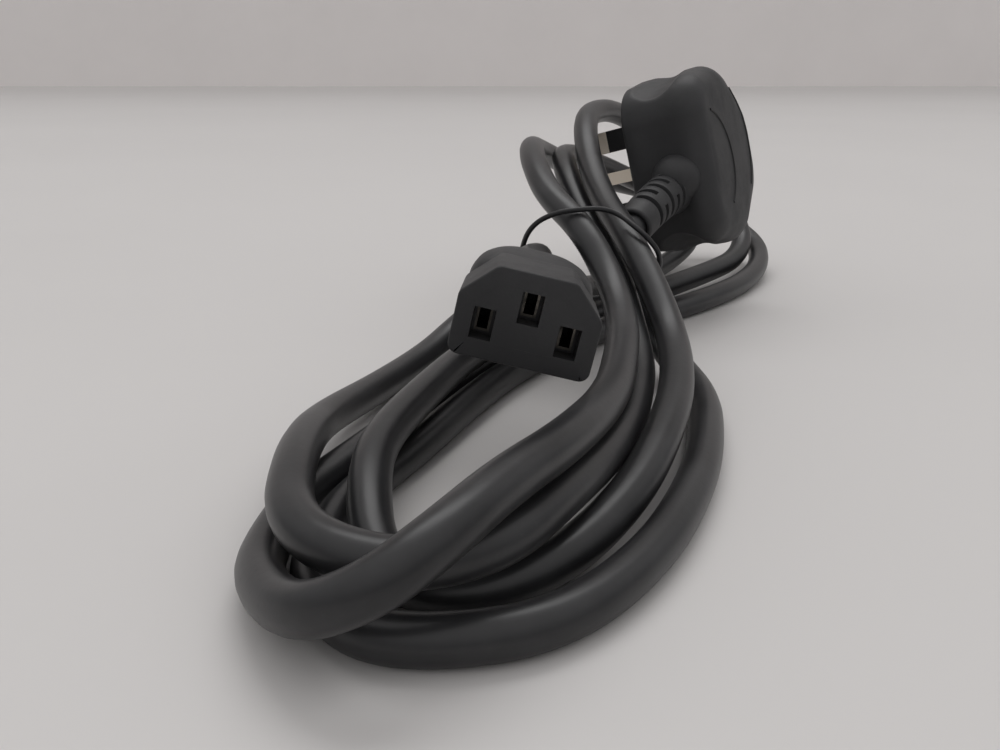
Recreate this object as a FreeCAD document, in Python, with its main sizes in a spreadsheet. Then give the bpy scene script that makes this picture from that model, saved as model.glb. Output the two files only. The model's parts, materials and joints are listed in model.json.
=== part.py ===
"""Moulded three-pin mains plug on a folded, tied cord with an appliance connector on its far end.

Millimetres. Origin: centre of the pin face, midway between the line and neutral pins. +Z is up, the plug
leans about Y, its pins point to -X, its earth pin is towards +Y and its cord leaves towards -Y.
The plug's own pieces are drawn in the plug's frame: X runs from the pin face to the rear face, Y towards
the earth pin and Z from the line pin to the neutral pin. The connector's frame has X from its face to its
cord exit and Z towards its earth slot.
"""
import FreeCAD, Part
import math
import os
import types

import Sketcher

os.makedirs("parts", exist_ok=True)
doc = FreeCAD.newDocument("plug")
Vector = FreeCAD.Vector

SIZES = {
    # moulded body of the plug
    "body_width": 52.0, "near_width": 36.0, "nose_width": 21.0, "near_edge": 12.5, "far_edge": 36.0,
    "near_shoulder": 6.2, "far_shoulder": 16.8, "body_depth": 23.2, "near_round": 8.5, "shoulder_round": 16.5,
    "nose_round": 15.0, "corner_round": 12.0, "rear_round": 5.6, "face_round": 1.2,
    "waist": 11.3, "waist_reach": 7.4, "waist_depth": 3.4, "lobe_round": 6.0,
    "exit_depth": 14.0, "exit_drop": 4.0, "boss_width": 14.4, "boss_height": 2.6, "boss_bevel": 1.2,
    # strain relief, which hangs with the cord
    "relief_bend": 46.0, "relief_angle": 38.0, "relief_root": 12.4, "relief_tip": 10.2, "ring_count": 6,
    "ring_gap": 1.0, "web_width": 3.4, "sleeve_wall": 0.8, "relief_lead": 8.0, "plug_lean": 15.0,
    # pins
    "pin_pitch": 22.2, "earth_offset": 22.2, "pin_width": 6.35, "pin_thickness": 4.0, "pin_length": 17.7,
    "neck_width": 5.2, "neck_thickness": 2.8, "sleeve_length": 9.5, "sleeve_root": 2.0,
    "earth_width": 8.0, "earth_thickness": 4.0, "earth_length": 22.7, "pin_bevel": 1.0,
    "shoulder_lip": 0.9, "shoulder_thickness": 2.0, "stud_diameter": 2.2, "head_diameter": 3.6,
    "head_height": 0.5,
    # bridge that the pins are set in, and the fuse drawer
    "bridge_depth": 9.8, "bridge_width": 34.0, "bridge_near": 11.4, "bridge_far": 28.2, "bridge_round": 5.0,
    "drawer_length": 27.4, "drawer_width": 10.0, "drawer_centre": 3.3, "drawer_plate": 2.6,
    "drawer_clearance": 0.15, "cheek_length": 12.0, "cheek_gap": 0.12, "notch_width": 5.0, "notch_depth": 1.3,
    "fuse_length": 25.4, "fuse_diameter": 6.35, "fuse_cap": 6.0, "cap_wall": 0.35, "fuse_depth": 6.0,
    # room behind the bridge for the terminals
    "room_depth": 8.4, "room_far": 26.6, "room_width": 29.6,
    # terminals
    "strip": 0.8, "clip_length": 4.5, "clip_wall": 0.4, "clip_gap": 0.1, "clip_foot": 2.4, "clip_mouth": 3.6,
    "tab_width": 6.0, "barrel_length": 5.0, "barrel_wall": 0.8, "barrel_entry": 1.0,
    "core_diameter": 2.4,
    # cord
    "cord_diameter": 7.0, "sheath_end": 10.2,
    # appliance connector
    "shell_width": 23.6, "shell_height": 15.6, "shell_bevel": 5.4, "shell_round": 2.0, "shell_length": 16.0,
    "insert_margin": 2.4, "insert_length": 15.0, "slot_pitch": 14.0, "slot_rise": 4.0, "socket_width": 3.6,
    "socket_height": 5.2, "contact_width": 2.6, "contact_height": 4.4, "contact_wall": 0.4,
    "contact_start": 5.0, "contact_length": 10.0, "hood_length": 19.0, "hood_width": 24.4,
    "hood_height": 16.4, "hood_round": 5.0, "hood_tail_width": 15.0,
    "tail_length": 21.0, "tail_root": 11.4, "tail_tip": 9.0, "connector_sheath": 24.0, "crimp_room_width": 18.0,
    "crimp_room_height": 10.0,
    # wire tie
    "tie_width": 1.3,
}

# Points of the cord's route, from the plug's strain relief to the connector, one list for each stretch.
FIRST_FOLD = [
    (21, -55, -27), (34, -66, -36), (47, -81, -38.5), (55, -104, -38.5), (60, -126, -38.5),
    (62, -152, -38.5), (58, -173, -38.5), (47, -184, -38.5), (36, -188, -38.5), (23, -181, -38.5),
    (15, -168, -38.5), (11, -153, -38.5), (9, -135, -38.5), (5, -112, -38.5), (2, -88, -38.5),
    (3, -60, -38.5), (8, -32, -38.5),
]
OUTER_BACK_LOOP = [
    (16, -8, -38.5), (21, 15, -38.5), (23, 40, -38.5), (21, 64, -37), (14, 84, -30), (-4, 94, -20),
    (-23, 86, -12), (-34, 63, -6), (-38, 37, -2), (-37, 14, 3), (-33, -9, 6), (-24, -29, 8), (-15, -44, 5),
    (-4, -57, -1),
]
TOP_FOLD = [
    (9, -66, -8), (20, -74, -17), (30, -87, -23), (37, -105, -25), (44, -126, -25), (48, -151, -23),
    (48, -170, -22), (48, -185, -23), (44, -194, -27), (33, -195, -33), (18, -186, -37), (10, -175, -38.5),
    (4, -162, -38.5), (2, -145, -38.5), (-2, -121, -38.5), (-6, -93, -38.5), (-7, -69, -38.5),
    (-6, -42, -38.5),
]
INNER_BACK_LOOP = [
    (-1, -14, -38.5), (5, 9, -37), (9, 34, -36), (12, 57, -34), (9, 75, -27), (-4, 84, -16), (-18, 75, -4),
    (-23, 51, 7), (-20, 25, 16), (-18, 4, 17), (-13, -11, 13), (-5, -28, 4), (7, -44, -4),
]
MIDDLE_FOLD = [
    (18, -58, -9), (29, -68, -18), (39, -80, -27), (47, -99, -30), (52, -120, -32), (54, -139, -35),
    (52, -156, -38), (47, -170, -38.5), (38, -176, -38.5), (28, -173, -37), (18, -161, -32),
    (11, -148, -31), (4, -123, -31), (-1, -101, -31), (-2, -80, -31), (-4, -58, -30), (-6, -38, -30),
    (-10, -18, -33),
]
CENTRE_BACK_LOOP = [
    (-12, 6, -38), (-10, 34, -38.5), (-9, 56, -37), (-7, 70, -32), (-10, 78, -23), (-17, 72, -13),
    (-23, 52, -3), (-26, 24, 4), (-26, -6, 5), (-17, -21, 2), (-7, -34, -5), (5, -47, -12), (17, -61, -18),
]
LAST_FOLD = [
    (26, -74, -25), (35, -89, -31), (40, -104, -33), (44, -118, -33), (47, -135, -32), (49, -156, -30),
    (49, -172, -30), (42, -183, -30), (31, -186, -29), (20, -181, -29), (10, -169, -29), (0, -155, -31),
    (-10, -138, -35), (-17, -113, -38), (-21, -88, -38), (-22, -70, -34), (-17, -58, -27), (-8, -57, -20),
    (-1, -66, -15), (2, -78, -13),
]
TIE = [
    (-9.3, -63, -21), (-9.8, -65, -12), (-6.5, -65.5, -4.5), (0, -63.5, 0.4), (8, -59.2, -0.2),
    (15.5, -55, -2.9), (22, -54.5, -5.5), (25.2, -56, -11), (24.6, -56.8, -17), (20.6, -58.8, -22.8),
    (13, -62.5, -24.8), (4, -64.5, -25), (-3, -64.5, -25.4),
]
CONNECTOR_AT = (35, -140, -9.5)
CONNECTOR_TURN = (118, 3, 13)

# Spreadsheet with one cell for each size
sheet = doc.addObject("Spreadsheet::Sheet", "Size")
for row, (name, number) in enumerate(SIZES.items(), start=1):
    sheet.set(f"A{row}", name)
    sheet.set(f"B{row}", str(number))
    sheet.setAlias(f"B{row}", name)
doc.recompute()


class Dim:
    """A length that knows both its number and the expression that the spreadsheet gives it by."""

    def __init__(self, text, number):
        self.text = text
        self.number = number

    def join(self, other, sign, swap=False):
        a, b = (dim(other), self) if swap else (self, dim(other))
        results = {"+": a.number + b.number, "-": a.number - b.number, "*": a.number * b.number}
        number = a.number / b.number if sign == "/" else results[sign]
        return Dim(f"({a.text} {sign} {b.text})", number)

    def __add__(self, other):
        return self.join(other, "+")

    def __radd__(self, other):
        return self.join(other, "+", swap=True)

    def __sub__(self, other):
        return self.join(other, "-")

    def __rsub__(self, other):
        return self.join(other, "-", swap=True)

    def __mul__(self, other):
        return self.join(other, "*")

    def __rmul__(self, other):
        return self.join(other, "*", swap=True)

    def __truediv__(self, other):
        return self.join(other, "/")

    def __neg__(self):
        return Dim(f"(0 - {self.text})", -self.number)


def dim(value):
    return value if isinstance(value, Dim) else Dim(f"({value})", float(value))


def n(name):
    return float(sheet.get(name))


s = types.SimpleNamespace(**{name: Dim(f"Size.{name}", n(name)) for name in SIZES})
pieces = []


# Frames of the plug and of the connector
lean = FreeCAD.Placement(Vector(0, 0, 0), FreeCAD.Rotation(Vector(0, 1, 0), -s.plug_lean.number))
turn, tip_down, roll = CONNECTOR_TURN
connector_pose = FreeCAD.Placement(
    Vector(*CONNECTOR_AT),
    FreeCAD.Rotation(Vector(0, 0, 1), turn)
    * FreeCAD.Rotation(Vector(0, 1, 0), tip_down)
    * FreeCAD.Rotation(Vector(1, 0, 0), roll),
)


def bind(thing, prop, value):
    thing.setExpression(prop, dim(value).text)


def new_body(label, pose, is_piece=True):
    body = doc.addObject("PartDesign::Body", label)
    body.Label = label
    body.Placement = pose
    if is_piece:
        pieces.append(body)
    return body


# Sketches: a plane is "YZ" (extrudes along +X), "XZ" (along +Y) or "XY" (along +Z)
def new_sketch(body, plane, start):
    sketch = body.newObject("Sketcher::SketchObject", "Sketch")
    role = f"{plane}_Plane"
    support = next(feature for feature in body.Origin.OriginFeatures if feature.Role == role)
    sketch.AttachmentSupport = [(support, "")]
    sketch.MapMode = "FlatFace"
    bind(sketch, "AttachmentOffset.Base.z", -dim(start) if plane == "XZ" else start)
    return sketch


def hold(sketch, geometry, point, across, along):
    for kind, axis, value in (("DistanceX", -2, dim(across)), ("DistanceY", -1, dim(along))):
        if abs(value.number) < 1e-9:
            sketch.addConstraint(Sketcher.Constraint("PointOnObject", geometry, point, axis))
            continue
        ends = (-1, 1, geometry, point) if value.number > 0 else (geometry, point, -1, 1)
        index = sketch.addConstraint(Sketcher.Constraint(kind, *ends, abs(value.number)))
        bind(sketch, f"Constraints[{index}]", value if value.number > 0 else -value)


def polygon(corners):
    def draw(sketch):
        first = sketch.GeometryCount
        spots = [Vector(dim(a).number, dim(b).number, 0) for a, b in corners]
        count = len(spots)
        for index in range(count):
            sketch.addGeometry(Part.LineSegment(spots[index], spots[(index + 1) % count]))
        for index in range(count):
            joint = (first + index, 2, first + (index + 1) % count, 1)
            sketch.addConstraint(Sketcher.Constraint("Coincident", *joint))
        for index, (across, along) in enumerate(corners):
            hold(sketch, first + index, 1, across, along)
    return draw


def rectangle(low_across, high_across, low_along, high_along):
    return polygon([(low_across, low_along), (high_across, low_along), (high_across, high_along),
                    (low_across, high_along)])


def centred(across, along, width, height):
    across, along, width, height = dim(across), dim(along), dim(width), dim(height)
    return rectangle(across - width / 2, across + width / 2, along - height / 2, along + height / 2)


def circle(across, along, diameter):
    def draw(sketch):
        index = sketch.GeometryCount
        middle = Vector(dim(across).number, dim(along).number, 0)
        sketch.addGeometry(Part.Circle(middle, Vector(0, 0, 1), dim(diameter).number / 2))
        hold(sketch, index, 3, across, along)
        size = sketch.addConstraint(Sketcher.Constraint("Radius", index, dim(diameter).number / 2))
        bind(sketch, f"Constraints[{size}]", dim(diameter) / 2)
    return draw


def pad(body, plane, start, length, *shapes):
    sketch = new_sketch(body, plane, start)
    for draw in shapes:
        draw(sketch)
    feature = body.newObject("PartDesign::Pad", "Pad")
    feature.Profile = sketch
    feature.Reversed = plane == "XZ"
    bind(feature, "Length", length)
    return feature


def pocket(body, plane, start, length, *shapes):
    doc.recompute()
    before = body.Shape.Volume
    sketch = new_sketch(body, plane, start)
    for draw in shapes:
        draw(sketch)
    feature = body.newObject("PartDesign::Pocket", "Pocket")
    feature.Profile = sketch
    feature.Reversed = plane != "XZ"
    bind(feature, "Length", length)
    doc.recompute()
    if not body.Shape.Volume < before - 1e-4:
        raise RuntimeError(f"a pocket in {body.Label} cuts nothing")
    return feature


def dress(body, kind, prop, value, chosen):
    doc.recompute()
    base = body.Tip
    names = [f"Edge{i}" for i, edge in enumerate(base.Shape.Edges, start=1) if chosen(edge)]
    if not names:
        raise RuntimeError(f"no edge chosen on {body.Label}")
    feature = body.newObject(f"PartDesign::{kind}", kind)
    feature.Base = (base, names)
    bind(feature, prop, value)
    return feature


def runs_along(edge, axis):
    ends = [vertex.Point for vertex in edge.Vertexes]
    return len(ends) == 2 and (ends[1] - ends[0]).normalize().cross(axis).Length < 1e-6


def lies_at(edge, axis, place):
    box = edge.BoundBox
    low, high = {"X": (box.XMin, box.XMax), "Y": (box.YMin, box.YMax), "Z": (box.ZMin, box.ZMax)}[axis]
    return abs(low - place) < 1e-4 and abs(high - place) < 1e-4


X_AXIS = Vector(1, 0, 0)
Y_AXIS = Vector(0, 1, 0)


# Moulded body: a shield seen from the pins, with a finger waist on each side
housing = new_body("plug_housing", lean, is_piece=False)
pad(housing, "YZ", 0, s.body_depth, polygon([
    (-s.near_edge, -s.near_width / 2), (-s.near_shoulder, -s.body_width / 2),
    (s.far_shoulder, -s.body_width / 2), (s.far_edge, -s.nose_width / 2),
    (s.far_edge, s.nose_width / 2), (s.far_shoulder, s.body_width / 2),
    (-s.near_shoulder, s.body_width / 2), (-s.near_edge, s.near_width / 2)]))


def corner_at(along, across):
    def chosen(edge):
        spot = edge.CenterOfMass
        return (runs_along(edge, X_AXIS) and abs(spot.y - along.number) < 0.01
                and abs(abs(spot.z) - across.number / 2) < 0.01)
    return chosen


dress(housing, "Fillet", "Radius", s.nose_round, corner_at(s.far_edge, s.nose_width))
dress(housing, "Fillet", "Radius", s.corner_round, corner_at(-s.near_edge, s.near_width))
dress(housing, "Fillet", "Radius", s.near_round, corner_at(-s.near_shoulder, s.body_width))
dress(housing, "Fillet", "Radius", s.shoulder_round, corner_at(s.far_shoulder, s.body_width))
dress(housing, "Fillet", "Radius", s.rear_round, lambda edge: lies_at(edge, "X", s.body_depth.number))
dress(housing, "Fillet", "Radius", s.face_round, lambda edge: lies_at(edge, "X", 0))
doc.recompute()


def draw_waist(sketch, side):
    """A scoop seen along Y: an arc for the hollow between two arcs that ease it into the lobes."""
    half, sink = n("body_width") / 2, n("waist_depth")
    lobe, reach = n("lobe_round"), n("waist_reach")
    hollow = (reach**2 + sink**2) / (2 * sink) - lobe
    share = lobe / (lobe + hollow)
    touch = Vector(n("waist") - reach * (1 - share), side * (half - sink * share), 0)
    front = Vector(n("waist") - reach, side * half, 0)
    half_angle = math.asin(reach * share / lobe) / 2
    eased = Vector(front.x + lobe * math.sin(half_angle), side * (half - lobe * (1 - math.cos(half_angle))), 0)

    def mirrored(spot):
        return Vector(2 * n("waist") - spot.x, spot.y, 0)

    outer = Vector(front.x, side * (half + 1), 0)
    sketch.addGeometry(Part.Arc(front, eased, touch))
    sketch.addGeometry(Part.Arc(touch, Vector(n("waist"), side * (half - sink), 0), mirrored(touch)))
    sketch.addGeometry(Part.Arc(mirrored(touch), mirrored(eased), mirrored(front)))
    sketch.addGeometry(Part.LineSegment(mirrored(front), mirrored(outer)))
    sketch.addGeometry(Part.LineSegment(mirrored(outer), outer))
    sketch.addGeometry(Part.LineSegment(outer, front))


for side in (1, -1):
    waist = new_sketch(housing, "XZ", -s.near_edge - 1)
    draw_waist(waist, side)
    waist_cut = housing.newObject("PartDesign::Pocket", "Waist")
    waist_cut.Profile = waist
    bind(waist_cut, "Length", s.near_edge + s.far_edge + 2)
pad(housing, "XZ", -s.near_edge - s.boss_height, s.boss_height + 3, circle(s.exit_depth, -s.exit_drop, s.boss_width))
dress(housing, "Chamfer", "Size", s.boss_bevel,
      lambda edge: lies_at(edge, "Y", -(s.near_edge + s.boss_height).number))


# Strain relief: a sleeve bent down with the cord, with rings that get smaller towards its tip
relief_start = lean.multVec(Vector(n("exit_depth"), -n("near_edge"), -n("exit_drop")))


def relief_spot(share):
    angle = math.radians(s.relief_angle.number) * share
    bend = s.relief_bend.number
    spot = relief_start + Vector(0, -bend * math.sin(angle), -bend * (1 - math.cos(angle)))
    heading = Vector(0, -math.cos(angle), -math.sin(angle))
    return spot, heading


def across_path(spot, heading):
    """A frame at spot with Z along heading and X level."""
    up = Vector(1, 0, 0).cross(heading)
    return FreeCAD.Placement(spot, FreeCAD.Rotation(Vector(1, 0, 0), up, heading, "ZXY"))


def round_section(label, pose, diameter):
    section = doc.addObject("Part::Circle", label)
    section.Placement = pose
    bind(section, "Radius", dim(diameter) / 2)
    return section


def ring(label, pose, wide, narrow, height):
    cone = doc.addObject("Part::Cone", label)
    cone.Placement = pose
    bind(cone, "Radius1", dim(wide) / 2)
    bind(cone, "Radius2", dim(narrow) / 2)
    bind(cone, "Height", height)
    return cone


def ring_sizes(root, tip, count, index):
    step = (tip - root) / count
    return root + step * index, root + step * (index + 0.8)


def web(label, pose, across, wide, height):
    """A bar through the relief that joins two rings, so each groove is a pair of slots."""
    bar = doc.addObject("Part::Box", label)
    bar.Placement = pose * FreeCAD.Placement(Vector(-dim(across).number / 2, -dim(wide).number / 2, 0),
                                             FreeCAD.Rotation())
    bind(bar, "Length", across)
    bind(bar, "Width", wide)
    bind(bar, "Height", height)
    return bar


def quarter_turn(index):
    return FreeCAD.Placement(Vector(0, 0, 0), FreeCAD.Rotation(Vector(0, 0, 1), 90 * (index % 2)))


relief_length = s.relief_bend * math.radians(n("relief_angle"))
ring_step = (relief_length - s.ring_gap) / s.ring_count
relief_rings = []
for index in range(int(n("ring_count"))):
    share = (n("ring_gap") + ring_step.number * index) / relief_length.number
    pose = across_path(*relief_spot(share))
    wide, narrow = ring_sizes(s.relief_root, s.relief_tip, n("ring_count"), index)
    relief_rings.append(ring(f"relief_ring_{index}", pose, wide, narrow, ring_step - s.ring_gap))
    if index:
        before = (ring_step.number * index - n("ring_gap") / 2) / relief_length.number
        pose = across_path(*relief_spot(before)) * quarter_turn(index)
        relief_rings.append(web(f"relief_web_{index}", pose, wide * 0.94, s.web_width, s.ring_gap * 2))


# Pins, drawn along X from nose to tail
def taper_nose(body, length, bevel):
    dress(body, "Chamfer", "Size", bevel, lambda edge: lies_at(edge, "X", -length.number))


def new_pin(label, along, across, wide_y, wide_z, length, neck):
    body = new_body(label, lean)
    start = -length
    if neck:
        pad(body, "YZ", start, length - s.sleeve_length, centred(along, across, wide_y, wide_z))
        taper_nose(body, length, s.pin_bevel)
        section = centred(along, across, s.neck_thickness, s.neck_width)
        pad(body, "YZ", -s.sleeve_length, s.sleeve_length + s.bridge_depth, section)
    else:
        pad(body, "YZ", start, length + s.sleeve_root, centred(along, across, wide_y, wide_z))
        taper_nose(body, length, s.pin_bevel)
        section = centred(along, across, wide_y - 2, wide_z - 1)
        pad(body, "YZ", s.sleeve_root, s.bridge_depth - s.sleeve_root, section)
    lip = 2 * s.shoulder_lip
    pad(body, "YZ", s.sleeve_root, s.shoulder_thickness, centred(along, across, wide_y + lip, wide_z + lip))
    pad(body, "YZ", s.bridge_depth, s.strip, circle(along, across, s.stud_diameter))
    pad(body, "YZ", s.bridge_depth + s.strip, s.head_height, circle(along, across, s.head_diameter))
    return body


half_pitch = s.pin_pitch / 2
line_pin = new_pin("line_pin", 0, -half_pitch, s.pin_thickness, s.pin_width, s.pin_length, True)
neutral_pin = new_pin("neutral_pin", 0, half_pitch, s.pin_thickness, s.pin_width, s.pin_length, True)
earth_pin = new_pin("earth_pin", s.earth_offset, 0, s.earth_width, s.earth_thickness, s.earth_length, False)

for label, across in (("line_pin_sleeve", -half_pitch), ("neutral_pin_sleeve", half_pitch)):
    sleeve = new_body(label, lean)
    pad(sleeve, "YZ", -s.sleeve_length, s.sleeve_length + s.sleeve_root,
        centred(0, across, s.pin_thickness, s.pin_width),
        centred(0, across, s.neck_thickness, s.neck_width))

# Bridge: the stiff block that holds the pins and the fuse chamber
bridge = new_body("pin_bridge", lean)
pad(bridge, "YZ", 0, s.bridge_depth,
    rectangle(-s.bridge_near, s.bridge_far, -s.bridge_width / 2, s.bridge_width / 2))
dress(bridge, "Fillet", "Radius", s.bridge_round, lambda edge: runs_along(edge, X_AXIS))
chamber = (s.drawer_length + 2 * s.drawer_clearance, s.drawer_width + 2 * s.drawer_clearance)
pocket(bridge, "YZ", 0, s.bridge_depth, centred(s.drawer_centre, 0, *chamber))
pin_spots = [
    (0, -half_pitch, s.pin_thickness, s.pin_width, s.neck_thickness, s.neck_width),
    (0, half_pitch, s.pin_thickness, s.pin_width, s.neck_thickness, s.neck_width),
    (s.earth_offset, 0, s.earth_width, s.earth_thickness, s.earth_width - 2, s.earth_thickness - 1),
]
for along, across, wide_y, wide_z, tail_y, tail_z in pin_spots:
    lip = 2 * s.shoulder_lip
    pocket(bridge, "YZ", 0, s.bridge_depth, centred(along, across, tail_y, tail_z))
    pocket(bridge, "YZ", 0, s.sleeve_root, centred(along, across, wide_y, wide_z))
    pocket(bridge, "YZ", s.sleeve_root, s.shoulder_thickness,
           centred(along, across, wide_y + lip, wide_z + lip))

# Fuse drawer: a face plate with two cheeks that hold the fuse's middle
drawer = new_body("fuse_carrier", lean)
pad(drawer, "YZ", 0, s.drawer_plate, centred(s.drawer_centre, 0, s.drawer_length, s.drawer_width))
cheek_inside = s.fuse_diameter / 2 + s.cheek_gap
cheek_top = s.fuse_depth + s.fuse_diameter / 4
for low, high in ((cheek_inside, s.drawer_width / 2), (-s.drawer_width / 2, -cheek_inside)):
    half_cheek = s.cheek_length / 2
    pad(drawer, "YZ", s.drawer_plate, cheek_top - s.drawer_plate,
        rectangle(s.drawer_centre - half_cheek, s.drawer_centre + half_cheek, low, high))
drawer_near = s.drawer_centre - s.drawer_length / 2
pocket(drawer, "YZ", 0, s.notch_depth,
       rectangle(drawer_near, drawer_near + 2, -s.notch_width / 2, s.notch_width / 2))

# Fuse: a ceramic tube with a cup pressed on each end
fuse_near = s.drawer_centre - s.fuse_length / 2
fuse_far = s.drawer_centre + s.fuse_length / 2
tube = new_body("fuse_tube", lean)
tube_diameter = s.fuse_diameter - 2 * s.cap_wall
pad(tube, "XZ", fuse_near + s.cap_wall, s.fuse_length - 2 * s.cap_wall, circle(s.fuse_depth, 0, tube_diameter))
for label, start in (("fuse_cap_near", fuse_near), ("fuse_cap_far", fuse_far - s.fuse_cap)):
    cap = new_body(label, lean)
    pad(cap, "XZ", start, s.fuse_cap, circle(s.fuse_depth, 0, s.fuse_diameter))
    hollow_start = start + s.cap_wall if label == "fuse_cap_near" else start
    pocket(cap, "XZ", hollow_start, s.fuse_cap - s.cap_wall, circle(s.fuse_depth, 0, tube_diameter))
# The fuse rests on two ribs of the drawer's plate
for start in (s.drawer_centre - s.cheek_length / 2, s.drawer_centre + s.cheek_length / 2 - 1.5):
    pad(drawer, "YZ", s.drawer_plate, s.fuse_depth - tube_diameter / 2 - s.drawer_plate,
        rectangle(start, start + 1.5, -1.2, 1.2))

# Terminals: strips 0.8 thick on the bridge's back, each with a clip or a hole and most with a barrel
back = s.bridge_depth
barrel_diameter = s.core_diameter + 2 * s.barrel_wall
barrel_middle = back + barrel_diameter / 2
half_clip = s.clip_length / 2
jaw_inside = s.fuse_diameter / 2 + s.clip_gap
jaw_outside = jaw_inside + s.clip_wall
foot = s.drawer_width / 2 + s.clip_foot


def add_jaws(body, middle):
    for low, high in ((jaw_inside, jaw_outside), (-jaw_outside, -jaw_inside)):
        pad(body, "YZ", s.clip_mouth, back - s.clip_mouth,
            rectangle(middle - half_clip, middle + half_clip, low, high))


def add_barrel(body, start, across):
    pad(body, "XZ", start, s.barrel_length, circle(barrel_middle, across, barrel_diameter))
    pocket(body, "XZ", start, s.barrel_length, circle(barrel_middle, across, s.core_diameter))


near_clip_at = fuse_near + s.fuse_cap / 2
far_clip_at = fuse_far - s.fuse_cap / 2
supply_across = -s.drawer_width / 2 + 0.5
supply_entry = -s.barrel_entry
supply = new_body("supply_fuse_clip", lean)
pad(supply, "YZ", back, s.strip, polygon([
    (near_clip_at - half_clip, -foot), (near_clip_at + half_clip, -foot),
    (supply_entry + s.barrel_length, -foot), (supply_entry + s.barrel_length, supply_across + 2),
    (near_clip_at + half_clip, supply_across + 2), (near_clip_at + half_clip, foot),
    (near_clip_at - half_clip, foot)]))
add_jaws(supply, near_clip_at)
add_barrel(supply, supply_entry, supply_across)

tab = s.tab_width / 2
line_clip = new_body("line_fuse_clip", lean)
pad(line_clip, "YZ", back, s.strip, polygon([
    (-tab, -half_pitch - tab), (far_clip_at + half_clip, -half_pitch - tab),
    (far_clip_at + half_clip, foot - 1.4), (far_clip_at - half_clip, foot - 1.4),
    (far_clip_at - half_clip, -half_pitch + tab), (-tab, -half_pitch + tab)]))
pocket(line_clip, "YZ", back, s.strip, circle(0, -half_pitch, s.stud_diameter))
add_jaws(line_clip, far_clip_at)

neutral_across = half_pitch - tab - barrel_diameter / 2
neutral_entry = -s.barrel_entry
neutral_terminal = new_body("neutral_crimp", lean)
pad(neutral_terminal, "YZ", back, s.strip,
    rectangle(-tab, tab, neutral_across - barrel_diameter / 2, half_pitch + tab))
pocket(neutral_terminal, "YZ", back, s.strip, circle(0, half_pitch, s.stud_diameter))
add_barrel(neutral_terminal, neutral_entry, neutral_across)

earth_across = foot + barrel_diameter / 2 + 0.2
earth_entry = s.earth_offset - tab - s.barrel_length
earth_terminal = new_body("earth_crimp", lean)
pad(earth_terminal, "YZ", back, s.strip, polygon([
    (s.earth_offset - tab, -tab), (s.earth_offset + tab, -tab),
    (s.earth_offset + tab, earth_across + barrel_diameter / 2),
    (earth_entry, earth_across + barrel_diameter / 2), (earth_entry, earth_across - barrel_diameter / 2 + 0.3),
    (s.earth_offset - tab, earth_across - barrel_diameter / 2 + 0.3)]))
pocket(earth_terminal, "YZ", back, s.strip, circle(s.earth_offset, 0, s.stud_diameter))
add_barrel(earth_terminal, earth_entry, earth_across)


# Round sections swept along a path of straight runs and tangent arcs
def path_edges(points, radii=None):
    edges = []
    last = points[0]
    for before, corner, after in zip(points, points[1:], points[2:]):
        inward = (corner - before).normalize()
        outward = (after - corner).normalize()
        bend = inward.getAngle(outward)
        shorter = min((corner - before).Length, (after - corner).Length)
        setback = 0.45 * shorter
        radius = setback / math.tan(bend / 2)
        if radii is not None:
            radii.append(radius)
        start = corner - inward * setback
        finish = corner + outward * setback
        to_centre = (outward - inward * inward.dot(outward)).normalize()
        centre = start + to_centre * radius
        to_corner = (corner - centre).normalize()
        edges.append(Part.LineSegment(last, start).toShape())
        edges.append(Part.Arc(start, centre + to_corner * radius, finish).toShape())
        last = finish
    edges.append(Part.LineSegment(last, points[-1]).toShape())
    return edges


def square_section(label, pose, width):
    section = doc.addObject("Part::RegularPolygon", label)
    section.Polygon = 4
    section.Placement = pose
    bind(section, "Circumradius", dim(width) * math.sqrt(0.5))
    return section


def swept(label, edges, diameter, section_of=round_section, is_piece=True):
    path = doc.addObject("Part::Feature", f"{label}_path")
    path.Shape = Part.Wire(edges)
    start = edges[0].valueAt(edges[0].FirstParameter)
    heading = edges[0].tangentAt(edges[0].FirstParameter)
    level = heading.cross(Vector(0, 0, 1))
    if level.Length < 0.1:
        level = heading.cross(Vector(0, 1, 0))
    pose = FreeCAD.Placement(start, FreeCAD.Rotation(level, heading.cross(level), heading, "ZXY"))
    section = section_of(f"{label}_section", pose, diameter)
    tube_piece = doc.addObject("Part::Sweep", label)
    tube_piece.Label = label
    tube_piece.Sections = [section]
    tube_piece.Spine = (path, [f"Edge{i}" for i in range(1, len(edges) + 1)])
    tube_piece.Solid = True
    tube_piece.Frenet = False
    if is_piece:
        pieces.append(tube_piece)
    return tube_piece


def placed_points(pose, points):
    return [pose.multVec(Vector(*point)) for point in points]


relief_path = [Part.LineSegment(relief_start + Vector(0, 3, 0), relief_start).toShape(),
               Part.Arc(relief_start, relief_spot(0.5)[0], relief_spot(1)[0]).toShape()]
relief = swept("relief", relief_path, s.cord_diameter + 2 * s.sleeve_wall, is_piece=False)

# Cores inside the plug, from the end of the cord's sheath to the barrels
sheath_spot = (n("exit_depth"), -n("sheath_end"), -n("exit_drop"))
lift = barrel_middle.number


def core_points(offset, middle, entry, across):
    x, y, z = sheath_spot
    start = (x + offset[0], y, z + offset[1])
    straight = (start[0], y + 2, start[2])
    between = [(lift + raised, along, start[2] + share * (across.number - start[2]))
               for raised, along, share in middle]
    before = (lift, entry.number - 2, across.number)
    finish = (lift, (entry + s.barrel_length).number, across.number)
    return [start, straight] + between + [before, finish]


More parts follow.
